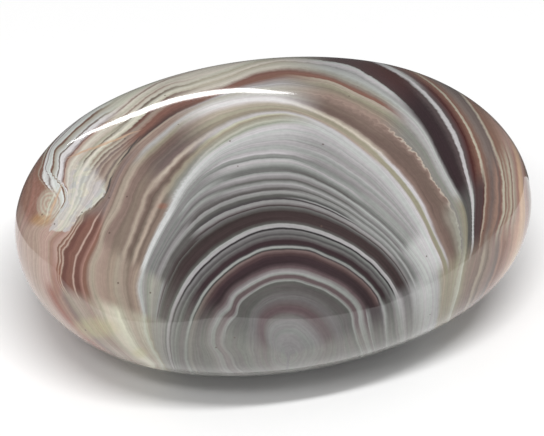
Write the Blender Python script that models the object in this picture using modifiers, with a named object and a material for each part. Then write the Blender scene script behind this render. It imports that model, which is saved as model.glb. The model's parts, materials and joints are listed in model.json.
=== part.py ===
"""A tumbled and polished agate pebble, one piece of stone, resting on its worn underside.

The stone lies on the plane z = 0 with its length along X and its width along Y.
Its origin is at the middle of its length and width, on the plane that it rests on.
"""

import bmesh
import bpy
from mathutils import Vector

MM = 0.001

# Driving dimensions of the pebble.
LENGTH = 50.6 * MM
WIDTH = 37.9 * MM
FULL_HEIGHT = 23.1 * MM

# How deep the underside is worn away to the small flat spot that the pebble rests on.
FLAT_DEPTH = 0.3 * MM

# The power in the pebble's outline: 2 is an ellipsoid, and a little more gives it fuller shoulders.
FULLNESS = 2.06

# How much narrower the +X end is than the middle, as a share of the width and of the height.
TAPER = 0.012

# The cage: cuts across each side of a cube, then rounds of smoothing.
CAGE_CUTS = 5
SMOOTH_LEVELS = 2

STONE_COLOR = (0.42, 0.36, 0.33, 1.0)
STONE_ROUGHNESS = 0.12
STONE_IOR = 1.54


def clear_scene():
    """Removes whatever the file held, so that the script always starts from nothing."""
    for old in list(bpy.data.objects):
        bpy.data.objects.remove(old, do_unlink=True)


def stone_material():
    """Polished agate, as one plain colour: the warm grey that its bands average to."""
    material = bpy.data.materials.new("polished_agate")
    material.use_nodes = True
    shader = material.node_tree.nodes["Principled BSDF"]
    shader.inputs["Base Color"].default_value = STONE_COLOR
    shader.inputs["Roughness"].default_value = STONE_ROUGHNESS
    shader.inputs["Metallic"].default_value = 0.0
    shader.inputs["IOR"].default_value = STONE_IOR
    return material


def on_pebble(direction):
    """The point where a ray from the middle of the unit pebble meets its rounded outline."""
    total = sum(abs(part) ** FULLNESS for part in direction)
    point = direction * total ** (-1.0 / FULLNESS)
    narrowing = 1.0 - TAPER * point.x
    return Vector((point.x, point.y * narrowing, point.z * narrowing))


def pebble_cage():
    """A cube cut into a coarse grid, with its points drawn in to the unit pebble's outline."""
    cage = bmesh.new()
    bmesh.ops.create_cube(cage, size=2.0)
    bmesh.ops.subdivide_edges(cage, edges=cage.edges[:], cuts=CAGE_CUTS, use_grid_fill=True)
    for vert in cage.verts:
        vert.co = on_pebble(vert.co.normalized())
    mesh = bpy.data.meshes.new("pebble_cage")
    cage.to_mesh(mesh)
    cage.free()
    return mesh


def smoothed(mesh, collection):
    """The cage's mesh after Subdivision Surface, which leaves no trace of the grid."""
    cage = bpy.data.objects.new("pebble_cage", mesh)
    collection.objects.link(cage)
    smooth = cage.modifiers.new("smooth", "SUBSURF")
    smooth.levels = SMOOTH_LEVELS
    smooth.render_levels = SMOOTH_LEVELS
    evaluated = cage.evaluated_get(bpy.context.evaluated_depsgraph_get())
    result = bpy.data.meshes.new_from_object(evaluated)
    bpy.data.objects.remove(cage, do_unlink=True)
    bpy.data.meshes.remove(mesh)
    return result


def bring_to_size(mesh):
    """Scales the pebble to its real length, width and height, centred on the origin."""
    for axis, size in enumerate((LENGTH, WIDTH, FULL_HEIGHT)):
        places = [vert.co[axis] for vert in mesh.vertices]
        middle = (min(places) + max(places)) / 2.0
        factor = size / (max(places) - min(places))
        for vert in mesh.vertices:
            vert.co[axis] = (vert.co[axis] - middle) * factor


def wear_underside_flat(mesh):
    """Presses the lowest points up to one plane, and sets the pebble on z = 0 by that flat spot."""
    lift = Vector((0.0, 0.0, FULL_HEIGHT / 2.0 - FLAT_DEPTH))
    for vert in mesh.vertices:
        vert.co += lift
        vert.co.z = max(vert.co.z, 0.0)


def build_pebble():
    collection = bpy.data.collections.new("agate")
    bpy.context.scene.collection.children.link(collection)
    mesh = smoothed(pebble_cage(), collection)
    mesh.name = "agate_pebble"
    bring_to_size(mesh)
    wear_underside_flat(mesh)
    mesh.shade_smooth()
    mesh.materials.clear()
    mesh.materials.append(stone_material())
    pebble = bpy.data.objects.new("agate_pebble", mesh)
    collection.objects.link(pebble)
    return pebble


def main():
    clear_scene()
    build_pebble()


main()
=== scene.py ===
# %% [markdown]
# # A tumbled and polished agate pebble
#
# Agate is chalcedony, a quartz too fine-grained to show its crystals, laid down in a cavity one thin layer
# after another. Cut across and polished, the layers show as bands. This lesson dresses one such pebble,
# about 50 mm long: a smooth stone, a body colour made of growth layers that bend and pinch together, and a
# glassy polish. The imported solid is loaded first, and everything after it is placed from its measurements.

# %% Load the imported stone
import json

import bpy
import numpy as np
from mathutils import Matrix, Vector

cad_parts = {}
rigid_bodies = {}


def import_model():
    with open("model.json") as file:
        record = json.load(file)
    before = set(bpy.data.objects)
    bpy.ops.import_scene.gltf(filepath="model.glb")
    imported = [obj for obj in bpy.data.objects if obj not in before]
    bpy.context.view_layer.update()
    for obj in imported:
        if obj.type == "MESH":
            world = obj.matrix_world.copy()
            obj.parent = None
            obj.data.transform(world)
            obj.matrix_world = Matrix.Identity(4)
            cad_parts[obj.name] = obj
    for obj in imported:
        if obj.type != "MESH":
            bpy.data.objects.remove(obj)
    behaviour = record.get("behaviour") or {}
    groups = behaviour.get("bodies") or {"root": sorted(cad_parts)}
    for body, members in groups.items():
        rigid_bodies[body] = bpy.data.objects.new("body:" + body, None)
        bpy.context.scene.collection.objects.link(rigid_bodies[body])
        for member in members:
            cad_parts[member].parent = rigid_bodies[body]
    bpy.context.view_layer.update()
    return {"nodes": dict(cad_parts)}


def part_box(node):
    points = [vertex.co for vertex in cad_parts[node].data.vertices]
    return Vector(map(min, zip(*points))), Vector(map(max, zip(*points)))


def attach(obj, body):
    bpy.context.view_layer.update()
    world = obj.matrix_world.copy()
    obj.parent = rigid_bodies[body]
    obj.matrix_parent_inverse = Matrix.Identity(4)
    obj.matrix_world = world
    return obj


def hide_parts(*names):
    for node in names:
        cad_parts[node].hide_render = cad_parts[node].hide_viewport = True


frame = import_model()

MM = 0.001
low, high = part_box("agate_pebble")
middle = (low + high) / 2
print("stone, mm:", [round(size / MM, 1) for size in high - low])

# %% [markdown]
# ## The camera
#
# The stone is looked down on from about 38 degrees, and from a little to the left of its broad side. A long
# lens 300 mm away keeps the egg shape from bulging. The camera's own axes, right, up and back, are kept as
# vectors, and so is the level direction toward it. The light is set out along these, and so are the layers,
# which in this stone run nearly straight away from this viewpoint.

# %% Camera
ELEVATION = np.radians(38.0)
TURN = np.radians(-15.2)
DISTANCE = 300 * MM
VIEW_WIDTH = 52.61 * MM
SENSOR = 36.0

toward = Vector((np.sin(TURN), -np.cos(TURN), 0.0))
right = Vector((np.cos(TURN), np.sin(TURN), 0.0))
back = toward * np.cos(ELEVATION) + Vector((0, 0, np.sin(ELEVATION)))
up = back.cross(right)

# In mm: how far the stone sits to the right of the middle of the frame, and above it.
OFF_MIDDLE_RIGHT = 0.256
OFF_MIDDLE_UP = 0.716
target = middle - right * OFF_MIDDLE_RIGHT * MM - up * OFF_MIDDLE_UP * MM
camera_data = bpy.data.cameras.new("camera")
camera_data.sensor_width = SENSOR
camera_data.lens = SENSOR * DISTANCE / VIEW_WIDTH
camera_data.clip_start = 0.01
camera = bpy.data.objects.new("camera", camera_data)
bpy.context.scene.collection.objects.link(camera)
turn_to_view = Matrix((right, up, back)).transposed().to_4x4()
camera.matrix_world = Matrix.Translation(target + back * DISTANCE) @ turn_to_view
bpy.context.scene.camera = camera
bpy.context.scene.view_settings.view_transform = "Standard"
print("lens, mm:", round(camera_data.lens, 1))

# %% [markdown]
# ## Colours and the paper floor
#
# Colours are picked as sRGB hex codes, as a paint program shows them, but Blender's sockets hold linear
# light, so one function turns the one into the other. The stone lies on plain white paper. Paper is matt,
# so its specular is off. The polish doesn't mirror this floor: a table top with an edge, made further down,
# is mirrored in its place.


# %% Paper floor
def srgb(code):
    """An sRGB hex colour as the linear RGBA that Blender's sockets hold."""
    parts = [int(code[i:i + 2], 16) / 255 for i in (0, 2, 4)]
    return [p / 12.92 if p <= 0.04045 else ((p + 0.055) / 1.055) ** 2.4 for p in parts] + [1.0]


def deselect_all():
    for item in bpy.context.view_layer.objects:
        item.select_set(False)


def matt_material(name, code):
    material = bpy.data.materials.new(name)
    material.use_nodes = True
    surface = material.node_tree.nodes["Principled BSDF"]
    surface.inputs["Base Color"].default_value = srgb(code)
    surface.inputs["Roughness"].default_value = 0.9
    surface.inputs["Specular IOR Level"].default_value = 0.0
    return material


paper = matt_material("white_paper", "F2F2F2")
deselect_all()
bpy.ops.mesh.primitive_plane_add(size=3.0, location=(0, 0, low.z))
floor = bpy.context.object
floor.name = "floor"
floor.data.materials.append(paper)
floor.visible_glossy = False
print("floor, m:", tuple(round(side, 1) for side in floor.dimensions[:2]))

# %% [markdown]
# ## The lamps
#
# Two long softboxes light the stone: a strong one high above it, a little in front and to the right, and a
# weaker one lower down, in front and to the left. Being long and level they draw a soft shadow that is dark
# only where the stone touches the paper. Neither is seen in the polish, where their oblongs would hide the
# bands.


# %% Softboxes
def from_stone(nearer, aside, above):
    """A place in the studio: metres toward the camera, to its right, and above the table."""
    return toward * nearer + right * aside + Vector((0, 0, low.z + above))


def softbox(name, place, size, radiance):
    """An oblong lamp of this radiance, aimed at the stone with its long side level."""
    data = bpy.data.lights.new(name, "AREA")
    data.shape = "RECTANGLE"
    data.size, data.size_y = size
    data.energy = radiance * np.pi * size[0] * size[1]
    lamp = bpy.data.objects.new(name, data)
    turn_to_stone = (middle - place).to_track_quat("-Z", "Y").to_matrix().to_4x4()
    lamp.matrix_world = Matrix.Translation(place) @ turn_to_stone
    lamp.visible_glossy = False
    bpy.context.scene.collection.objects.link(lamp)
    print(name, "watts:", round(data.energy, 2))


# The place in metres, the length and width in metres, and the radiance.
softbox("key", from_stone(0.34, -0.12, 0.46), (0.25, 0.06), 15.0)
softbox("top", from_stone(0.24, 0.06, 0.56), (0.34, 0.04), 60.0)

# %% [markdown]
# ## The room
#
# White walls fill the shadows. In the polish the room is made dimmer than it is as a light, because a
# bright room mirrored all over would lay a grey veil on the dark bands. The Light Path node tells the two
# kinds of ray apart.

# %% Studio sky
ROOM_LIGHT = 0.45
ROOM_IN_POLISH = 0.10
world = bpy.data.worlds.new("studio")
bpy.context.scene.world = world
world.use_nodes = True
sky = world.node_tree
sky.nodes["Background"].inputs["Color"].default_value = (1, 1, 1, 1)
ray = sky.nodes.new("ShaderNodeLightPath")
strength = sky.nodes.new("ShaderNodeMapRange")
strength.inputs["To Min"].default_value = ROOM_LIGHT
strength.inputs["To Max"].default_value = ROOM_IN_POLISH
sky.links.new(ray.outputs["Is Glossy Ray"], strength.inputs["Value"])
sky.links.new(strength.outputs["Result"], sky.nodes["Background"].inputs["Strength"])
print("room light:", ROOM_LIGHT, "in the polish:", ROOM_IN_POLISH)

# %% [markdown]
# ## What the polish mirrors
#
# Two things show in the polish: the edge of the white table, as a pale veil over the lower part of the
# stone, and one long tube lamp high up behind it, as a thin bright arc. Each is a flat card that only
# mirrored rays can see, so neither changes the light on the stone. The corners are metres in the studio,
# and what counts is their direction.


# %% Mirrored cards
def mirrored_card(name, corners, material):
    """A flat card that only the polish can see."""
    mesh = bpy.data.meshes.new(name)
    mesh.from_pydata([tuple(corner) for corner in corners], [], [tuple(range(len(corners)))])
    mesh.materials.append(material)
    card = bpy.data.objects.new(name, mesh)
    bpy.context.scene.collection.objects.link(card)
    card.visible_camera = False
    card.visible_diffuse = False
    card.visible_shadow = False
    print(name, "corners:", len(corners))


# The table's edge, as (toward the camera, to the right), just proud of the paper.
TABLE_EDGE = [(-0.015, -1.0), (0.043, -0.044), (0.057, -0.035), (0.105, -0.029), (1.4, -0.05), (1.4, 0.05),
              (0.066, 0.025), (0.046, 0.040), (0.050, 0.10), (0.06, 1.0), (-0.10, 1.0), (-0.032, 0.045),
              (-0.015, 0.021)]
PROUD = 0.05 * MM
mirrored_card("table_top", [from_stone(nearer, aside, PROUD) for nearer, aside in TABLE_EDGE], paper)

# The tube's course a metre behind the stone, as (to the right, above the table, width of the lit strip).
TUBE_PATH = [(-0.545, 0.040, 0.002), (-0.505, 0.160, 0.050), (-0.440, 0.245, 0.066), (-0.368, 0.302, 0.074),
             (-0.305, 0.320, 0.080), (-0.254, 0.315, 0.080), (-0.209, 0.313, 0.080), (-0.166, 0.329, 0.076),
             (-0.124, 0.342, 0.070), (-0.084, 0.364, 0.062), (-0.046, 0.404, 0.050), (-0.007, 0.444, 0.030),
             (0.042, 0.480, 0.002)]
TUBE_BRIGHTNESS = 11.0
tube_white = matt_material("tube_light", "000000")
tube_shader = tube_white.node_tree.nodes["Principled BSDF"]
tube_shader.inputs["Emission Color"].default_value = (1, 1, 1, 1)
tube_shader.inputs["Emission Strength"].default_value = TUBE_BRIGHTNESS
upper = [from_stone(-1.0, aside, above + width / 2) for aside, above, width in TUBE_PATH]
lower = [from_stone(-1.0, aside, above - width / 2) for aside, above, width in reversed(TUBE_PATH)]
mirrored_card("tube_light", upper + lower, tube_white)

# %% [markdown]
# ## The stone
#
# A tumbled pebble has no corner anywhere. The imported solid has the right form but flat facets, so a copy of
# it is merged, paired into quads, which divide more evenly than triangles, and rounded with a Subdivision
# Surface. Division pulls a surface in by a hair, so the result stays inside the solid. It is the only
# visible piece.

# %% Smooth stone
SAME_POINT = 0.001 * MM
ROUNDS_OF_DIVISION = 2
deselect_all()
stone = bpy.data.objects.new("agate_stone", frame["nodes"]["agate_pebble"].data.copy())
bpy.context.scene.collection.objects.link(stone)
bpy.context.view_layer.objects.active = stone
stone.select_set(True)
bpy.ops.object.mode_set(mode="EDIT")
bpy.ops.mesh.select_all(action="SELECT")
bpy.ops.mesh.remove_doubles(threshold=SAME_POINT)
bpy.ops.mesh.tris_convert_to_quads(face_threshold=np.radians(40), shape_threshold=np.radians(60))
bpy.ops.object.mode_set(mode="OBJECT")
smooth = stone.modifiers.new("smooth", "SUBSURF")
smooth.levels = ROUNDS_OF_DIVISION
smooth.render_levels = ROUNDS_OF_DIVISION
bpy.ops.object.modifier_apply(modifier=smooth.name)
bpy.ops.object.shade_smooth()
print("stone faces:", len(stone.data.polygons))

# %% [markdown]
# ## Where every point lies
#
# The bands arch over a centre near the lower edge of the broad face, so a place on the stone is told best
# by its angle and radius around that centre, measured across the stone in millimetres. Behind the rim the
# layers run on into the stone, but they also lean. A place there is shifted by the lean before its angle and
# radius are taken, and so the bands carry on over the back.

# %% Arch coordinates
# In mm: the arch's centre, from the stone's middle, and how far behind the rim the lean sets in.
ARCH_CENTRE = (1.2, -13.4)
LEAN_STARTS_OVER = 4.0
# How far the layers lean to the right and downwards, for every millimetre once the lean has set in.
LEAN_RIGHT = 0.25
LEAN_DOWN = 0.8
count = len(stone.data.vertices)
points = np.empty(count * 3)
stone.data.vertices.foreach_get("co", points)
offset = (points.reshape(count, 3) - np.array(middle)) / MM
aside_mm = offset @ np.array(right)
above_mm = offset @ np.array(up)

half = np.array(high - low) / 2 / MM
rim_plane = np.array(back) / half ** 2
rim_plane /= np.linalg.norm(rim_plane)
hidden = np.maximum(-(offset @ rim_plane), 0)
lean = hidden ** 2 / (hidden + LEAN_STARTS_OVER)

across = aside_mm - ARCH_CENTRE[0] - LEAN_RIGHT * lean
rise = above_mm - ARCH_CENTRE[1] + LEAN_DOWN * lean
radius = np.hypot(across, rise)
angle = np.degrees(np.arctan2(rise, across))
angle = np.where(angle < -90, angle + 360, angle)
print("radius, mm:", radius.min().round(1), "to", radius.max().round(1))

# %% [markdown]
# ## The growth lines
#
# Each band was once the surface of the cavity wall, so bands never cross: they only swell, pinch and fold
# together. They could be bent with noise, but then no fold would fall where this stone has it. Instead
# nineteen lines are followed around the arch, from the left end (180 degrees) over the crown (90) to the
# right end (0), with a point only where the line bends. A line's number is its growth depth: its radius in
# millimetres at the crown.

# %% Growth lines
GROWTH_LINES = [
    ("heart arc", 4.6,
     "215 2.3, 165 2.4, 150 2.8, 120 4.4, 100 4.7, 75 4.7, 60 4.55, 0 4, -20 3.6"),
    ("core rim", 7.55,
     "210 4.6, 195 5.6, 178 6.15, 170 6.8, 150 7.05, 141 6.85, 133 7.2, 120 7.3, 90 7.58, 70 7.45, "
     "36 7.67, 24 7.22, 16 7.15, 8 7.25, 0 7.6, -10 7.8"),
    ("maroon top", 10.0,
     "210 8.2, 180 9.3, 160 9.37, 120 9.7, 100 9.95, 80 9.95, 68 9.78, 35 9.92, 10 9.25, -10 9.4"),
    ("hairline", 11.75,
     "210 9.6, 190 10.5, 175 10.88, 120 11.45, 97 11.82, 70 11.48, 33 11.4, 12 10.87, -10 10.9"),
    ("pink line", 14.3,
     "200 10.6, 185 11.35, 180 11.8, 155 13, 140 13.75, 108 14.36, 90 14.25, 65 13.5, 26 13, 20 12.65, "
     "0 11.7, -10 11.6"),
    ("bright line", 17.0,
     "200 10.9, 184 11.45, 180 11.88, 160 13.6, 148 14.85, 140 15.25, 132 15.8, 120 16.85, 112 17.08, "
     "90 16.93, 78 16.15, 65 15.3, 45 14.7, 26 14.4, 10 13.1, 0 12.6, -10 12.4"),
    ("double line", 18.1,
     "184 11.48, 160 13.95, 150 15.08, 140 15.62, 120 17.5, 115 17.95, 103 18.15, 90 18, 75 16.8, "
     "60 15.75, 40 15.2, 30 15.1, 20 14.5, 10 13.5, 0 12.9"),
    ("white start", 18.9,
     "184 11.55, 170 13.08, 165 13.47, 160 14.15, 155 14.95, 150 15.25, 125 17.3, 120 17.95, 105 18.95, "
     "92 18.85, 86 18.5, 65 16.85, 40 15.8, 30 15.5, 10 14, 0 13.3"),
    ("white end", 21.9,
     "184 11.9, 170 13.5, 165 13.95, 155 15.38, 145 16.05, 130 17.45, 120 18.87, 110 20.4, 90 21.93, "
     "70 19.85, 50 17.6, 40 16.8, 30 16.2, 20 15.1, 10 14.2, 0 13.6"),
    ("wedge edge", 22.85,
     "184 12.3, 175 13.9, 165 15.5, 160 16.45, 135 19.38, 130 20.25, 120 21.25, 95 22.95, 90 22.85, "
     "80 21.75, 70 20.4, 40 17.15, 25 16.1, 20 15.4, 0 13.8"),
    ("cream line", 23.9,
     "184 13.4, 175 15.9, 165 18, 160 19.2, 155 19.85, 150 20.05, 145 20.5, 140 20.65, 130 22.25, "
     "125 22.85, 120 23.2, 115 23.8, 104 24.25, 90 23.75, 85 23.15, 70 21.3, 50 19.1, 40 17.95, "
     "30 17.3, 20 16, 0 14.2"),
    ("scalloped line", 24.9,
     "184 14.2, 180 15.2, 170 18, 160 20.45, 155 20.92, 150 20.95, 140 21.72, 130 23.3, 120 24.1, "
     "115 24.5, 100 25, 75 24, 70 23.5, 55 21.9, 50 21.15, 40 20.3, 30 18.7, 25 17.4, 15 15.7, 0 14.4"),
    ("red-brown start", 26.3,
     "184 15, 180 15.9, 175 17.6, 165 21, 163 21.9, 157 22.7, 154.7 23.12, 153.8 22.92, 147 22.87, "
     "145.3 23.02, 142 22.62, 139 22.5, 137 22.9, 130 23.95, 120 24.67, 115 25, 110 25.1, 95 26.05, "
     "90 26.3, 85 26.08, 80 25.93, 77 25.55, 65 24.5, 55 22.9, 50 21.9, 45 21.3, 40 20.9, 35 19.95, "
     "30 19, 25 17.7, 15 15.9, 0 14.6"),
    ("red-brown end", 27.2,
     "184 15.8, 180 16.6, 175 18.4, 165 21.9, 160 23.3, 157 23.75, 154.5 24.2, 150 23.6, 145 23.6, "
     "135 24.75, 124 25, 114 26, 105 25.95, 95 26.95, 90 27.15, 80 26.65, 77 26.3, 70 25.7, 60 24.5, "
     "50 22.4, 45 21.7, 40 21.3, 35 20.3, 30 19.2, 25 17.95, 20 17, 15 16.1, 0 14.8"),
    ("dark start", 28.4,
     "184 16.6, 180 17.3, 175 19.2, 165 23, 157 24.6, 154.5 25, 152.5 24.9, 150 24.5, 147 24.5, "
     "143 25.2, 141 25.8, 135 26.6, 126 26.75, 114 27.6, 110 27.3, 105 27.35, 90 28.45, 85 28.3, "
     "77 28.15, 74 27.7, 60 25.35, 50 23, 45 22.25, 40 21.75, 25 18.2, 20 17.3, 15 16.3, 0 15"),
    ("white rib", 30.4,
     "184 17.5, 180 18.2, 175 20.2, 165 24, 157 25.4, 153.8 26.1, 151 25.4, 147 25.2, 144.3 25.9, "
     "143.2 27.3, 143.1 28, 141.5 28.5, 138.8 29.48, 137.5 29.38, 128.5 29.45, 126 29.3, 118 29.7, "
     "112 29.7, 90 30.2, 75 29.8, 70 29.35, 65 28.87, 50 25.75, 45 24.2, 40 22.75, 35 21.2, 30 20, "
     "25 18.5, 20 17.6, 10 15.9, 0 15.4"),
    ("orange line", 31.8,
     "184 18.5, 180 19.2, 170 23.3, 160 26, 155 26.8, 149 26, 147 26.1, 146 26.6, 145.5 27.5, "
     "145.2 28.5, 143 29.3, 139 30.2, 110 30.8, 90 31.5, 80 31, 55 28.55, 45 26.1, 30 20.85, 25 19.45, "
     "20 18.1, 15 17.2, 10 16.4, 0 15.8"),
    ("pale rib", 33.2,
     "184 19.5, 170 24.5, 160 27.5, 150 28.5, 140 31, 90 33, 55 30.35, 50 29.3, 37 25.9, 35 25.2, "
     "33 24.6, 30 23.1, 25 21.75, 15 18.8, 10 17.4, 0 16.5"),
    ("peach rim", 35.5,
     "184 20.5, 170 26, 150 31, 90 35, 60 32.5, 50 31.5, 45 30.3, 40 28.9, 35 27.2, 25 24.3, 15 20.5, "
     "10 18.6, 0 17.5"),
]
LINES = [(depth, np.array(sorted([float(word) for word in pair.split()] for pair in course.split(","))))
         for name, depth, course in GROWTH_LINES]
print("growth lines:", len(LINES), "from", GROWTH_LINES[0][0], "to", GROWTH_LINES[-1][0])

# %% [markdown]
# A smooth curve through those points shouldn't swing past them, or two bands would touch where they don't.
# So the slope at each point is held to three times the gentler of the two slopes beside it, and is level at
# a peak.


# %% A curve through points
def through_points(position, pairs):
    """Follows given position and value pairs with a smooth curve that never swings past them."""
    spots, values = pairs[:, 0], pairs[:, 1]
    steps = np.diff(values) / np.diff(spots)
    slopes = np.gradient(values, spots)
    gentlest = 3 * np.minimum(abs(steps[:-1]), abs(steps[1:]))
    slopes[1:-1] = np.where(steps[:-1] * steps[1:] > 0, np.clip(slopes[1:-1], -gentlest, gentlest), 0)
    position = np.clip(position, spots[0], spots[-1])
    left = np.clip(np.searchsorted(spots, position, side="right") - 1, 0, len(spots) - 2)
    gap = spots[left + 1] - spots[left]
    s = (position - spots[left]) / gap
    return ((1 + 2 * s) * (1 - s) ** 2 * values[left] + s * (1 - s) ** 2 * gap * slopes[left]
            + s * s * (3 - 2 * s) * values[left + 1] + s * s * (s - 1) * gap * slopes[left + 1])


hairline = LINES[3][1]
print("hairline at 45 degrees, mm:", through_points(np.array([45.0]), hairline).round(2))

# %% [markdown]
# Between two lines the depth is filled in with a curve too, because a straight fill would leave a crease
# along every growth line. Beyond the last line the depth grows one for one with the radius.

# %% Growth depth
# In mm: how far the depth goes on past the last line, and the least that two lines are kept apart.
OUTSIDE = 20.0
LEAST_GAP = 0.02


def growth_depth(angle, radius):
    """How far out in the layers a place on the arch lies, in crown millimetres."""
    radii = [np.zeros_like(radius)]
    depths = [0.0]
    for depth, pairs in LINES:
        radii.append(np.maximum(through_points(angle, pairs), radii[-1] + LEAST_GAP))
        depths.append(depth)
    radii = np.array(radii + [radii[-1] + OUTSIDE])
    depths = np.array(depths + [depths[-1] + OUTSIDE])
    gaps = np.diff(radii, axis=0)
    steps = np.diff(depths)[:, None] / gaps
    slopes = np.vstack([steps[:1], 2 / (1 / steps[:-1] + 1 / steps[1:]), steps[-1:]])
    zone = np.clip((radius > radii).sum(axis=0) - 1, 0, len(gaps) - 1)
    point = np.arange(len(radius))
    gap = gaps[zone, point]
    s = np.clip((radius - radii[zone, point]) / gap, 0, 1)
    return ((1 + 2 * s) * (1 - s) ** 2 * depths[zone] + s * (1 - s) ** 2 * gap * slopes[zone, point]
            + s * s * (3 - 2 * s) * depths[zone + 1] + s * s * (s - 1) * gap * slopes[zone + 1, point])


growth = growth_depth(angle, radius)
print("growth depth, mm:", growth.min().round(1), "to", growth.max().round(1))

# %% [markdown]
# ## Handing the numbers to the shader
#
# A shader can't follow nineteen curves, but it can read an attribute. Growth depth and angle change so
# gently from one vertex to the next that the shader's own blending between them is exact enough for a band
# a tenth of a millimetre wide. "front" is 1 on the face turned up and 0 behind the rim, for marks that
# belong to the face alone.


# %% Attributes
# In mm: how far behind the rim the marks of the face have faded out.
FRONT_ENDS_OVER = 1.5


def store(name, values):
    layer = stone.data.attributes.new(name, "FLOAT", "POINT")
    layer.data.foreach_set("value", values.astype(np.float32))


store("growth", growth)
store("angle", angle)
store("front", 1 - np.clip(hidden / FRONT_ENDS_OVER, 0, 1))
face_places = np.column_stack([aside_mm, above_mm, 0 * above_mm]).astype(np.float32)
face_layer = stone.data.attributes.new("face", "FLOAT_VECTOR", "POINT")
face_layer.data.foreach_set("vector", face_places.ravel())
print("attributes:", [layer.name for layer in stone.data.attributes if not layer.is_internal])

# %% [markdown]
# ## The cream patch
#
# Near the left end the layers break off against a patch of coarser, cream coloured quartz. Its edge is
# angular, so it is an outline of straight sides. Every vertex gets its distance inside that outline, and
# the shader softens it.

# %% Patch outline
PATCH_OUTLINE = [(-21.2, -1.95), (-19.2, -2.0), (-18.6, -1.3), (-18.2, -0.5), (-17.0, 0.2), (-15.9, 1.2),
                 (-15.5, 2.4), (-16.2, 4.0), (-17.2, 4.9), (-18.6, 5.2), (-19.6, 4.6), (-20.0, 3.4),
                 (-19.5, 2.0), (-19.5, 0.8), (-20.4, -0.5)]


def inside_by(outline):
    """How far inside an outline on the face every point lies, in mm; outside is negative."""
    corners = np.array(outline)
    nearest = np.full(count, 99.0)
    inside = np.zeros(count, dtype=bool)
    for (x1, y1), (x2, y2) in zip(corners, np.roll(corners, -1, axis=0)):
        dx, dy = x2 - x1, y2 - y1
        s = np.clip(((aside_mm - x1) * dx + (above_mm - y1) * dy) / (dx * dx + dy * dy), 0, 1)
        nearest = np.minimum(nearest, np.hypot(aside_mm - x1 - s * dx, above_mm - y1 - s * dy))
        level = np.where(dy == 0, 1e-9, dy)
        crossed = (above_mm > y1) != (above_mm > y2)
        inside ^= crossed & (aside_mm < x1 + (above_mm - y1) * dx / level)
    return np.where(inside, nearest, -nearest)


patch_depth = inside_by(PATCH_OUTLINE)
store("patch", patch_depth)
print("vertices in the patch:", int((patch_depth > 0).sum()))

# %% [markdown]
# ## The tones
#
# Iron gives this agate its colours: rusty where it is hydrated, wine red to near black where it is dense,
# khaki and sage where there is little of it, and grey to white where there is none. Each tone has a name,
# so that the bands further down can be written in words.

# %% Tones
PALETTE = {
    "jet": "2B282A", "graphite": "424041", "slate": "535150", "pewter": "636262", "ash": "747474",
    "haze": "868686", "silver": "979798", "pearl": "A8A8A9", "chalk": "B9B9BB", "white": "D4D4D5",
    "umber": "393030", "taupe": "544640", "mocha": "6A5B54", "fawn": "7C6C64", "tan": "907F75",
    "beige": "A09488", "sand": "B0A79A", "ivory": "C0BBAD", "cream": "CDCABE",
    "wine": "34292C", "maroon": "4A3A3B", "oxblood": "472624", "russet": "6B4C45", "brick": "7A5A50",
    "terra": "8B5A4A", "rose": "96786D", "blush": "B0988E", "peach": "C2A48D",
    "plum": "5A4E50", "mauve": "6A5C5A", "dusk": "7C6E6B",
    "sage": "80807B", "lichen": "94948B", "celadon": "ABABA0", "pistachio": "BABAA4",
    "khaki": "8C8676", "straw": "B0A886", "amber": "B08A5C",
}
tone = {name: srgb(code) for name, code in PALETTE.items()}
print("tones:", len(tone))

# %% [markdown]
# ## The bands
#
# A geologist describes a core by logging it: so far in, this colour begins. The same is done here. A band
# changes its tone along the arch as well as outwards, so the arch is logged in nine stretches, each at one
# angle. A note such as "8.6-9.1 wine" is a band with its inner and outer radius in millimetres, one such as
# "9.88 jet" is a line, and the colour fades evenly from note to note. Only bands and lines that stand out
# are noted. The many finer layers between them are made with noise further down.

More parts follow.
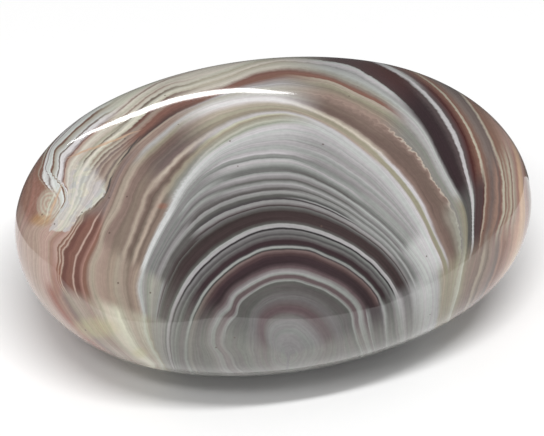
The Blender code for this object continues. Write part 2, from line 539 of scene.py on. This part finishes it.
# %% Bands
# Each stretch: name, the angle at which it is logged, the angles between which it holds alone, and its notes.
LOGS = [
    ("right end", 23, 0, 26,
     "8 haze, 8.5-9.2 wine, 9.5 graphite, 9.7 silver, 10-10.5 slate, 11.3 silver, 11.9-12.35 pewter, "
     "12.8 silver, 13.9 pearl, 15.2 silver, 15.8-16.7 khaki, 17.5 celadon, 17.7 khaki, 18.6-19.3 fawn, "
     "19.5 beige, 20.1 mocha, 20.35 tan, 21.3 mauve, 21.55 rose, 21.9 brick, 22.4 rose, 23.5 peach"),
    ("right shoulder", 37, 33, 39.5,
     "13.1 ash, 13.4 pewter, 13.6 silver, 13.75 pewter, 14.4 silver, 15 pearl, 16.9 chalk, "
     "17.05-17.35 khaki, 17.5 chalk, 17.75 fawn, 18.6 mocha, 19.85 lichen, 20.05 sage, 20.8 khaki, "
     "21.12-21.56 slate, 21.66-21.78 chalk, 21.9 slate, 22.1-22.9 maroon, 23.1 oxblood, "
     "23.2-23.3 beige, 23.42 brick, 24.2 mauve, 24.95 rose, 25.1 mauve, 25.5 brick, 25.66-25.8 sand, "
     "25.95 brick, 26.15 beige, 26.3 rose, 26.7 sand, 26.85 brick, 27 sand, 27.6 rose, 27.9 peach"),
    ("right flank", 56, 45, 60,
     "13.35 silver, 13.5 pewter, 13.85 silver, 14.05 pewter, 14.3 silver, 14.45 pewter, 14.9 silver, "
     "15.1 pewter, 15.5-16.2 haze, 17 silver, 17.1 haze, 17.5 silver, 18.75 chalk, 18.95-19.3 khaki, "
     "19.42-19.6 chalk, 19.85 fawn, 20.2-21.3 mocha, 22 fawn, 22.12 sand, 22.22-22.95 sage, "
     "23.7-24 pearl, 24.45-25.8 wine, 26.6 plum, 26.75-27.05 chalk, 27.2 plum, 27.8 oxblood, "
     "28.42 brick, 28.52-28.62 sand, 28.75 brick, 29.4 dusk, 30.1 mauve, 30.3 sand, 30.5 brick, "
     "31.2 rose, 32 blush"),
    ("right brow", 77, 70, 80,
     "14.1 silver, 14.25 graphite, 14.6-14.75 haze, 14.85 slate, 15.2 silver, 15.5 slate, 16 silver, "
     "16.2 slate, 16.9 silver, 17.4 ash, 18.6 silver, 19.1 haze, 19.5 silver, 21.2 chalk, 21.4 beige, "
     "21.85 khaki, 22.05 ivory, 22.55-23 mocha, 24.3 tan, 25.2 khaki, 25.72 sand, 25.8-26 brick, "
     "26.55 lichen, 27.1 pearl, 27.55 silver, 27.85-28.15 chalk, 28.3 maroon, 29.6 oxblood, "
     "29.75-29.95 chalk, 30.1 mauve, 30.5 brick, 30.95 peach, 31.1 fawn"),
    ("crown", 99, 94, 105,
     "0-3.2 ash, 4.2-4.7 plum, 5.4 pewter, 6.2-6.85 slate, 6.95 haze, 7.2-7.45 plum, 7.6-7.78 haze, "
     "8.15 plum, 8.6-9.1 wine, 9.45 maroon, 9.72 mauve, 9.88 jet, 9.98-10.12 haze, 10.22 graphite, "
     "10.35-10.65 wine, 11.1 pewter, 11.22 graphite, 11.62 ash, 11.73-11.83 jet, 11.9-12.2 silver, "
     "12.27 slate, 12.6-13.4 umber, 13.83 pewter, 13.9 umber, 14.2-14.4 haze, 14.46 graphite, "
     "14.85 slate, 15.1-15.28 haze, 15.36-15.5 slate, 15.95 silver, 16.33 slate, 16.82-17 silver, "
     "17.12-17.4 pewter, 18.05-18.3 pearl, 18.4 ash, 18.75 haze, 18.82 chalk, 19.2 silver, 21 chalk, "
     "21.42 lichen, 21.65 celadon, 22.15 khaki, 22.3 pistachio, 22.5 chalk, 22.9 khaki, 23.7 sand, "
     "24.1-24.3 white, 25.1 celadon, 25.4 pearl, 25.88-26.35 brick, 26.8 cream, 27.3 sand, 27.5 cream, "
     "27.8 sand, 28-28.6 cream, 29.4 ivory, 29.6 fawn, 29.75 cream, 30.1 chalk, 30.3 russet, "
     "30.9 mocha, 32.4 wine"),
    ("shoulder", 121, 119, 123,
     "15.5 slate, 16.1 haze, 16.4 pewter, 16.95 silver, 17.05 ash, 17.9 haze, 18.35-18.6 chalk, "
     "19.1 sage, 19.75 khaki, 19.9-20.2 mocha, 20.4 fawn, 20.6-20.75 sand, 21.1-21.7 mauve, 22.6 mocha, "
     "23.1 khaki, 23.55 pearl, 23.9-24.3 tan, 24.45 beige, 24.6 maroon, 25.1-25.35 brick, 25.8 beige, "
     "26.1-26.25 russet, 26.35 ivory, 26.8 cream, 27.05-27.15 fawn, 27.25 cream, 27.5 ivory, 27.65 tan, "
     "27.8 ivory, 28.3 cream, 28.45 tan, 28.6-29.7 cream, 30.6 sand, 30.75 fawn, 30.95 ivory, "
     "31.5 sand, 31.7 mauve, 31.95 cream, 32.6 ivory"),
    ("left shoulder", 135, 131, 146.5,
     "13.3 umber, 13.8-14.2 slate, 14.5-14.65 haze, 14.95 pewter, 15.2-16.1 ash, 16.4-16.7 chalk, "
     "17 fawn, 17.5 mocha, 17.8 beige, 18.4-18.7 mocha, 19.15 beige, 19.5-21.1 fawn, 21.45-21.8 beige, "
     "22.1 fawn, 22.4 tan, 22.6 dusk, 23.1 fawn, 23.5 beige, 23.75 mauve, 23.95 beige, 24.4 fawn, "
     "24.6 beige, 24.9 mauve, 25.05 sand, 25.3 fawn, 25.45 ivory, 25.7 tan, 25.85 ivory, 26.15 cream, "
     "26.38 mocha, 26.5 ivory, 26.75 sand, 27.3 cream, 27.7 blush, 27.83 russet, 28.15-28.45 white, "
     "28.55-28.63 dusk, 28.7 white, 29.18 sand, 29.26-29.4 brick, 29.48-29.9 white, 29.98 dusk, "
     "30.06-30.2 white, 30.28-30.42 brick, 30.5 cream, 30.75 brick, 31.6 blush, 32 terra"),
    ("left bend", 157, 151.5, 162,
     "12.95 sage, 13.6 lichen, 14.1 sage, 14.75 pearl, 15.3 tan, 15.9 fawn, 17.1 beige, 17.6-18.7 tan, "
     "19.7 beige, 20.25-20.45 brick, 20.55 rose, 20.92-21.3 russet, 21.38-21.46 blush, "
     "21.54-21.95 brick, 22.15-22.48 russet, 22.56-22.64 blush, 22.72-22.84 brick, 22.9-22.98 blush, "
     "23.06-23.16 brick, 23.24-23.32 blush, 23.9 rose, 24.3-27.5 blush"),
    ("left end", 167, 166, 190,
     "11.5 sage, 13 khaki, 13.5 celadon, 14.8 beige, 15.9 ivory, 17.3 sand, 18.6 tan, 19.9 beige, "
     "20.8 fawn, 21.5 rose, 22.2 terra, 23-26 blush"),
]
print("stretches:", len(LOGS), "notes:", sum(notes.count(",") + 1 for *_, notes in LOGS))

# %% [markdown]
# The notes give radii at their own angle. Growth depth is what the shader works in, so each radius is
# turned to the depth it has there, and the band then follows the growth lines for as far as its stretch
# reaches.


# %% Colour stops
def stops_of(angle, notes):
    """Turns band notes taken at one angle into (growth depth, colour) stops."""
    radii = []
    tones = []
    for note in notes.split(","):
        span, name = note.split()
        for radius in span.split("-"):
            radii.append(float(radius))
            tones.append(tone[name])
    depths = growth_depth(np.full(len(radii), float(angle)), np.array(radii))
    return list(zip(depths.tolist(), tones))


STOPS = {name: stops_of(logged_at, notes) for name, logged_at, first, last, notes in LOGS}
for name, stops in STOPS.items():
    print(name, len(stops), "stops, depth", round(stops[0][0], 1), "to", round(stops[-1][0], 1))

# %% [markdown]
# ## Polished agate
#
# Chalcedony has an IOR of about 1.54. It is tumbled with finer and finer grit and finished with an oxide
# polish, which leaves it smooth as glass with a trace of blur, hence a roughness of 0.06. It lets light in
# for a few millimetres only, and the dense bands hide that, so plain diffuse colour under the gloss is
# enough. One function adds a node.

# %% Polished agate
agate = bpy.data.materials.new("polished_agate")
agate.use_nodes = True
tree = agate.node_tree
shader = tree.nodes["Principled BSDF"]
shader.inputs["IOR"].default_value = 1.54
shader.inputs["Roughness"].default_value = 0.06
stone.data.materials.clear()
stone.data.materials.append(agate)


def add(kind, inputs=None, output=0, **settings):
    """Adds a shader node. Settings are its properties, and inputs are values or other nodes' outputs."""
    new = tree.nodes.new("ShaderNode" + kind)
    for name, value in settings.items():
        setattr(new, name, value)
    for name, value in (inputs or {}).items():
        if isinstance(value, bpy.types.NodeSocket):
            tree.links.new(value, new.inputs[name])
        else:
            new.inputs[name].default_value = value
    return new.outputs[output]


place = add("TexCoord", output=3)
growth_here = add("Attribute", attribute_name="growth", output=2)
turn = add("Attribute", attribute_name="angle", output=2)
front = add("Attribute", attribute_name="front", output=2)
print("the shader reads:", [node.attribute_name for node in tree.nodes if node.type == "ATTRIBUTE"])

# %% [markdown]
# ## Layers that waver
#
# Drawn true to the growth lines, the bands look ruled. On the stone a layer wavers over a millimetre or so,
# and the outer ones are rough on the scale of their grain. Both are small shifts of the growth depth, by
# noise whose scale is one over its size, since Object coordinates are in metres.


# %% Wavering layers
WAVER_SIZE = 1.4 * MM
GRAIN_SIZE = 0.4 * MM
# In mm of growth depth: how far each shifts a layer at most, and where the grain sets in and is full.
WAVER_SHIFT = 0.08
GRAIN_SHIFT = 0.06
GRAIN_SETS_IN = 24.0
GRAIN_IS_FULL = 26.5
waver = add("TexNoise", {"Vector": place, "Scale": 1 / WAVER_SIZE, "Detail": 2.0})
grain = add("TexNoise", {"Vector": place, "Scale": 1 / GRAIN_SIZE, "Detail": 2.0})
waver_shift = add("MapRange", {"Value": waver, "To Min": -WAVER_SHIFT, "To Max": WAVER_SHIFT})
grain_shift = add("MapRange", {"Value": grain, "To Min": -GRAIN_SHIFT, "To Max": GRAIN_SHIFT})
in_outer_layers = add("MapRange", {"Value": growth_here, "From Min": GRAIN_SETS_IN,
                                   "From Max": GRAIN_IS_FULL}, interpolation_type="SMOOTHSTEP")
depth = add("Math", {0: growth_here, 1: waver_shift}, operation="ADD")
depth = add("Math", {0: grain_shift, 1: in_outer_layers, 2: depth}, operation="MULTIPLY_ADD")
print("waver, mm:", round(WAVER_SIZE / MM, 2), "grain, mm:", round(GRAIN_SIZE / MM, 2))

# %% [markdown]
# One pale line on the right flank, at a depth of about 25 mm, is scalloped: quartz grew there in tiny buds,
# each under a millimetre wide. The depth is shifted by coarser noise, but only close to that line and to
# the right of the crown.


# %% Scalloped line
def near(value, middle, reach):
    """1 at the middle, falling to 0 at the reach on both sides."""
    away = add("Math", {0: add("Math", {0: value, 1: middle}, operation="SUBTRACT")}, operation="ABSOLUTE")
    return add("MapRange", {"Value": away, "From Max": reach, "To Min": 1.0, "To Max": 0.0},
               interpolation_type="SMOOTHSTEP")


BUD_SIZE = 0.65 * MM
# In mm of growth depth: the line's place, how far from it the layers still bend, and by how much at most.
SCALLOPED_DEPTH = 24.95
SCALLOPED_REACH = 0.55
BUD_SHIFT = 0.38
# In degrees: the angles at which the buds begin and are full.
BUDS_BEGIN = 88.0
BUDS_ARE_FULL = 78.0
buds = add("TexNoise", {"Vector": place, "Scale": 1 / BUD_SIZE, "Detail": 1.0})
bud_shift = add("MapRange", {"Value": buds, "To Min": -BUD_SHIFT, "To Max": BUD_SHIFT})
right_of_crown = add("MapRange", {"Value": turn, "From Min": BUDS_BEGIN, "From Max": BUDS_ARE_FULL},
                     interpolation_type="SMOOTHSTEP")
near_line = near(depth, SCALLOPED_DEPTH, SCALLOPED_REACH)
at_line = add("Math", {0: near_line, 1: right_of_crown}, operation="MULTIPLY")
depth = add("Math", {0: bud_shift, 1: at_line, 2: depth}, operation="MULTIPLY_ADD")
print("buds, mm:", round(BUD_SIZE / MM, 2))

# %% [markdown]
# ## Bands as colour ramps
#
# A Color Ramp over the growth depth draws one stretch. A ramp holds 32 stops at most, and the crown alone
# has more than eighty, so ramps are chained: each begins on the last stop of the one before, and takes over
# from there.

# %% Layer colour
MOST_STOPS = 32


def layer_colour(stops, colour=None):
    """A stretch of bands as colour ramps chained end to end, laid over a colour further in."""
    for first in range(0, len(stops) - 1, MOST_STOPS - 1):
        part = stops[first:first + MOST_STOPS]
        start, end = part[0][0], part[-1][0]
        along = add("MapRange", {"Value": depth, "From Min": start, "From Max": end})
        banded = add("ValToRGB", {0: along})
        marks = banded.node.color_ramp.elements
        for index, (at, shade) in enumerate(part):
            mark = marks[index] if index < 2 else marks.new(1.0)
            mark.position = (at - start) / (end - start)
            mark.color = shade
        if colour is None:
            colour = banded
        else:
            beyond = add("Math", {0: depth, 1: start}, operation="GREATER_THAN")
            colour = add("Mix", {0: beyond, 6: colour, 7: banded}, output=2, data_type="RGBA")
    return colour


# The innermost layers look alike all along the arch, so every stretch shares the crown's.
CORE_ENDS = 18.0
core = layer_colour([stop for stop in STOPS["crown"] if stop[0] < CORE_ENDS])
print("core ends at depth, mm:", CORE_ENDS)

# %% [markdown]
# ## From stretch to stretch
#
# Between two stretches the colours are blended over the angles that neither holds alone, so a band changes
# its tone gradually, as the iron did. At the left bend the change would cut straight across the folds, so
# it is made to swing with them. Only the tip of the right end lies outside depth 36 mm, and its few bands
# are noted by growth depth.

# %% Stretches joined
# In mm of growth depth: how far inside the core's end the crown's stretch begins, the middle of the folded
# bands, and how far from it they reach.
OVERLAP = 2.0
FOLD_DEPTH = 25.2
FOLD_REACH = 1.7
# In degrees: how far the change of stretch swings with the folds.
FOLD_SWING = 6.0
# Each of the tip's notes: growth depth in mm, and tone.
TIP_NOTES = "36 blush, 36.4 rose, 37 fawn, 37.2 ivory, 37.5 mocha"
colour = None
for name, logged_at, first, last, notes in LOGS:
    stops = STOPS[name]
    if name == "crown":
        stops = [stop for stop in stops if stop[0] > CORE_ENDS - OVERLAP]
    here = layer_colour(stops, core)
    if colour is None:
        colour = here
    else:
        swing = turn
        if name == "left bend":
            in_folds = near(depth, FOLD_DEPTH, FOLD_REACH)
            swing = add("Math", {0: in_folds, 1: FOLD_SWING, 2: turn}, operation="MULTIPLY_ADD")
        share = add("MapRange", {"Value": swing, "From Min": faded, "From Max": first},
                    interpolation_type="SMOOTHSTEP")
        colour = add("Mix", {0: share, 6: colour, 7: here}, output=2, data_type="RGBA")
    faded = last
tip = [(float(at), tone[name]) for at, name in (note.split() for note in TIP_NOTES.split(","))]
colour = layer_colour(tip, colour)
print("shader nodes so far:", len(tree.nodes))

# %% [markdown]
# ## Marks on the face
#
# The marks that don't follow the layers are ovals: a red field, an eye, thin healed cracks and rust stains.
# A Mapping node of the Texture kind moves, turns and scales the face's millimetres so that the oval becomes
# a circle of radius 1, and the distance from its middle says what is inside. A crack is only a very thin
# oval. The marks are collected here, with how strongly each covers, and laid one over another at the end.

# %% Ovals
face = add("Attribute", attribute_name="face", output=1)
# How far the wavering shifts the marks' edges, in mm.
WOBBLE = 0.4
waver_colour = waver.node.outputs[1]
face = add("VectorMath", {0: waver_colour, 1: (WOBBLE, WOBBLE, 0.0), 2: face}, operation="MULTIPLY_ADD")
marks_on_face = []


def oval(x, y, half_wide, half_tall, tilt, edge, strength):
    """How strongly an oval covers each point of the face, and each point's distance from its middle."""
    middle_at = (x + WOBBLE / 2, y + WOBBLE / 2, 0)
    circle = add("Mapping", {"Vector": face, "Location": middle_at, "Rotation": (0, 0, np.radians(tilt)),
                             "Scale": (half_wide, half_tall, 1)}, vector_type="TEXTURE")
    distance = add("VectorMath", {0: circle}, output=1, operation="LENGTH")
    cover = add("MapRange", {"Value": distance, "From Min": 1 + edge, "From Max": 1 - edge,
                             "To Max": strength}, interpolation_type="SMOOTHSTEP")
    return add("Math", {0: cover, 1: front}, operation="MULTIPLY"), distance


# The red field at the left end lies only outside the folded ribs, which end between two growth depths.
RED = (-22.9, 2.2)
RED_HALF = (1.9, 3.6)
RIBS_END = (31.6, 32.2)
red_cover = oval(*RED, *RED_HALF, 10, 0.3, 0.85)[0]
outside_ribs = add("MapRange", {"Value": depth, "From Min": RIBS_END[0], "From Max": RIBS_END[1]},
                   interpolation_type="SMOOTHSTEP")
red_cover = add("Math", {0: red_cover, 1: outside_ribs}, operation="MULTIPLY")
red_tone = add("Mix", {0: grain, 6: tone["terra"], 7: tone["rose"]}, output=2, data_type="RGBA")
marks_on_face.append((red_cover, red_tone))
print("red field of", 2 * RED_HALF[0], "by", 2 * RED_HALF[1], "mm")

# %% [markdown]
# The eye is a stalactite cut across: thin rings around its own middle. A sine of the distance from that
# middle gives about three rings of ivory and blush.

# %% Eye
EYE = (-21.2, 0.6)
EYE_HALF = (1.2, 1.45)
RINGS = 3.2
eye_cover, eye_distance = oval(*EYE, *EYE_HALF, -6, 0.2, 0.8)
ring_angle = add("Math", {0: eye_distance, 1: 2 * np.pi * RINGS}, operation="MULTIPLY")
ring_wave = add("Math", {0: ring_angle}, operation="SINE")
ring_share = add("MapRange", {"Value": ring_wave, "From Min": -1.0, "To Min": 0.1, "To Max": 0.9})
eye_tone = add("Mix", {0: ring_share, 6: tone["blush"], 7: tone["ivory"]}, output=2, data_type="RGBA")
marks_on_face.append((eye_cover, eye_tone))
print("eye rings:", RINGS)

# %% [markdown]
# The cream patch is quartz in grains under a millimetre across, each at its own slant, so each is a little
# lighter or darker. A Voronoi texture gives such grains, and its cell colour picks a tone for each. The
# edge is crisp below, where the layers break off, and soft above, where the patch fades into them.

# %% Cream patch
FACET_SIZE = 0.7 * MM
# In mm: the heights on the face below which the edge is crisp and above which it is soft, and both widths.
CRISP_BELOW = 1.7
SOFT_ABOVE = 3.7
CRISP_EDGE = 0.12
SOFT_EDGE = 1.42
from_edge = add("Attribute", attribute_name="patch", output=2)
frayed = add("MapRange", {"Value": grain, "To Min": -0.25, "To Max": 0.25})
from_edge = add("Math", {0: from_edge, 1: frayed}, operation="ADD")
face_height = add("SeparateXYZ", {0: face}, output=1)
edge_width = add("MapRange", {"Value": face_height, "From Min": CRISP_BELOW, "From Max": SOFT_ABOVE,
                              "To Min": CRISP_EDGE, "To Max": SOFT_EDGE}, interpolation_type="SMOOTHSTEP")
inside = add("MapRange", {"Value": from_edge, "From Min": -0.05, "From Max": edge_width, "To Max": 0.8},
             interpolation_type="SMOOTHSTEP")
patch_cover = add("Math", {0: inside, 1: front}, operation="MULTIPLY")
facets = add("TexVoronoi", {"Vector": place, "Scale": 1 / FACET_SIZE}, output=1)
facet_share = add("SeparateColor", {0: facets})
patch_tone = add("Mix", {0: facet_share, 6: tone["chalk"], 7: tone["cream"]}, output=2, data_type="RGBA")
marks_on_face.append((patch_cover, patch_tone))
print("facets, mm:", round(FACET_SIZE / MM, 2))

# %% [markdown]
# Healed cracks cross the layers near the patch: pale ones, filled later with clear quartz, and dark ones
# along its right edge and a little beyond it, where some iron crept in. They are placed by their two ends.
# The stains, rust red or the yellow of straw, are soft and faint.

# %% Cracks and stains
# Each crack: its two ends and half its width in mm, and its tone.
CRACKS = [((-20.1, 2.2), (-21.3, -1.1), 0.10, "peach"), ((-20.45, 2.2), (-21.6, -1.0), 0.08, "cream"),
          ((-19.3, 5.1), (-15.8, 6.5), 0.08, "peach"), ((-17.2, 5.8), (-13.2, 7.4), 0.08, "peach"),
          ((-15.15, 3.3), (-15.8, 1.2), 0.08, "graphite"), ((-15.8, 1.25), (-16.7, 0.3), 0.09, "taupe"),
          ((-14.6, 4.4), (-12.9, 6.7), 0.08, "graphite")]
for (x1, y1), (x2, y2), half_width, name in CRACKS:
    half_length = np.hypot(x2 - x1, y2 - y1) / 2
    tilt = np.degrees(np.arctan2(y2 - y1, x2 - x1))
    cover = oval((x1 + x2) / 2, (y1 + y2) / 2, 1.1 * half_length, half_width, tilt, 0.5, 0.85)[0]
    marks_on_face.append((cover, tone[name]))

# Each stain: its middle and half sizes in mm, how strongly it covers, and its tone.
STAINS = [(-16.6, -10.9, 1.9, 0.9, 0.6, "straw"), (-12.5, -13.2, 0.7, 0.5, 0.5, "straw"),
          (-20.3, -6.6, 0.5, 1.6, 0.5, "terra"), (-21.9, -0.9, 1.0, 0.5, 0.5, "amber"),
          (-10.35, 0.35, 0.4, 0.25, 0.45, "terra")]
for x, y, half_wide, half_tall, strength, name in STAINS:
    cover = oval(x, y, half_wide, half_tall, 0, 0.6, strength)[0]
    marks_on_face.append((cover, tone[name]))
print("cracks:", len(CRACKS), "stains:", len(STAINS))

# %% [markdown]
# ## Laying the marks
#
# Toward both feet of the arch the core layers pale into a sage haze. It goes on first, and the marks over
# it in the order in which they were made.

# %% Haze and marks
# Where the haze begins and where it is full: the angles at each foot, and the growth depths in mm.
LEFT_FOOT = (138.0, 174.0)
RIGHT_FOOT = (28.0, 8.0)
HAZE_DEPTHS = (19.0, 15.0)
HAZE_COVER = 0.6
left_foot = add("MapRange", {"Value": turn, "From Min": LEFT_FOOT[0], "From Max": LEFT_FOOT[1]},
                interpolation_type="SMOOTHSTEP")
right_foot = add("MapRange", {"Value": turn, "From Min": RIGHT_FOOT[0], "From Max": RIGHT_FOOT[1]},
                 interpolation_type="SMOOTHSTEP")
feet = add("Math", {0: left_foot, 1: right_foot}, operation="ADD")
in_core = add("MapRange", {"Value": depth, "From Min": HAZE_DEPTHS[0], "From Max": HAZE_DEPTHS[1],
                           "To Max": HAZE_COVER}, interpolation_type="SMOOTHSTEP")
haze = add("Math", {0: feet, 1: in_core}, operation="MULTIPLY")
for cover, shade in [(haze, tone["sage"])] + marks_on_face:
    colour = add("Mix", {0: cover, 6: colour, 7: shade}, output=2, data_type="RGBA")
print("marks laid:", len(marks_on_face))

# %% [markdown]
# ## The finest layers
#
# Between the bands that have notes lie a great many thin ones, down to a tenth of a millimetre and less.
# Noise read along the growth depth, and hardly at all along the arch, draws them for as long as the layers
# are. One noise gives soft laminae, a second a few crisp ones, and the grain breaks them up so that they
# don't look printed. The heart of the arch grew last and grainiest, so the soft laminae are faint there.

# %% Laminae
# The layers' spacing and the heart's growth depth in mm, and for how many degrees a lamina keeps its tone.
LAMINA = 0.2
HEART = 3.5
REACH_ALONG_ARCH = 50.0
across_layers = add("Math", {0: depth, 1: 1 / LAMINA}, operation="MULTIPLY")
along_layers = add("Math", {0: turn, 1: 1 / REACH_ALONG_ARCH}, operation="MULTIPLY")
in_layers = add("CombineXYZ", {0: across_layers, 1: along_layers})
soft = add("TexNoise", {"Vector": in_layers, "Scale": 1.0, "Detail": 4.0, "Roughness": 0.75})
crisp = add("TexNoise", {"Vector": in_layers, "Scale": 0.85, "Detail": 2.0, "W": 3.0}, noise_dimensions="4D")
darkest = add("MapRange", {"Value": depth, "From Min": HEART, "From Max": 2 * HEART,
                           "To Min": 0.85, "To Max": 0.6})
lightest = add("MapRange", {"Value": depth, "From Min": HEART, "From Max": 2 * HEART,
                            "To Min": 1.15, "To Max": 1.4})
soft_tone = add("MapRange", {"Value": soft, "To Min": darkest, "To Max": lightest})
crisp_tone = add("MapRange", {"Value": crisp, "From Min": 0.49, "From Max": 0.53,
                              "To Min": -0.05, "To Max": 0.05}, interpolation_type="SMOOTHSTEP")
grain_tone = add("MapRange", {"Value": grain, "To Min": -0.11, "To Max": 0.11})
lamina_tone = add("Math", {0: soft_tone, 1: crisp_tone}, operation="ADD")
lamina_tone = add("Math", {0: lamina_tone, 1: grain_tone}, operation="ADD")
grey = add("CombineColor", {0: lamina_tone, 1: lamina_tone, 2: lamina_tone})
colour = add("Mix", {0: 1.0, 6: colour, 7: grey}, output=2, data_type="RGBA", blend_type="MULTIPLY")

# Some laminae are a shade warmer, some a shade greener.
hue = add("TexNoise", {"Vector": in_layers, "Scale": 0.35, "Detail": 2.0, "W": 8.0}, noise_dimensions="4D")
hue_share = add("MapRange", {"Value": hue, "From Min": 0.4, "From Max": 0.6}, interpolation_type="SMOOTHSTEP")
tint = add("Mix", {0: hue_share, 6: srgb("FFFAFA"), 7: srgb("FBFFF9")}, output=2, data_type="RGBA")
colour = add("Mix", {0: 1.0, 6: colour, 7: tint}, output=2, data_type="RGBA", blend_type="MULTIPLY")
print("laminae, mm:", LAMINA)

# %% [markdown]
# ## Pits, and the finished colour
#
# Tumbling leaves a few pits where a soft grain fell out, a couple of tenths of a millimetre wide and a few
# millimetres apart. Their darkness is painted shade of the small hollow. Voronoi cells of that spacing
# are coloured only close to their centres. At this size a pit is seen as a colour, not as a hollow, so it
# isn't raised or sunk.

# %% Pits
PIT_SPACING = 2.4 * MM
PIT_RADIUS = 0.1 * MM
to_pit = add("TexVoronoi", {"Vector": place, "Scale": 1 / PIT_SPACING})
rim_at = PIT_RADIUS / PIT_SPACING
pit_shade = add("MapRange", {"Value": to_pit, "From Min": 1.3 * rim_at, "From Max": 0.7 * rim_at,
                       "To Max": 0.75}, interpolation_type="SMOOTHSTEP")
# Each pit is darkened toward taupe: painted shade of its hollow.
colour = add("Mix", {0: pit_shade, 6: colour, 7: tone["taupe"]}, output=2, data_type="RGBA")
tree.links.new(colour, shader.inputs["Base Color"])
print("shader nodes:", len(tree.nodes))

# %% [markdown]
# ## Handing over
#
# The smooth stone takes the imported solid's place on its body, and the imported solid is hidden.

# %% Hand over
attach(stone, "root")
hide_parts("agate_pebble")
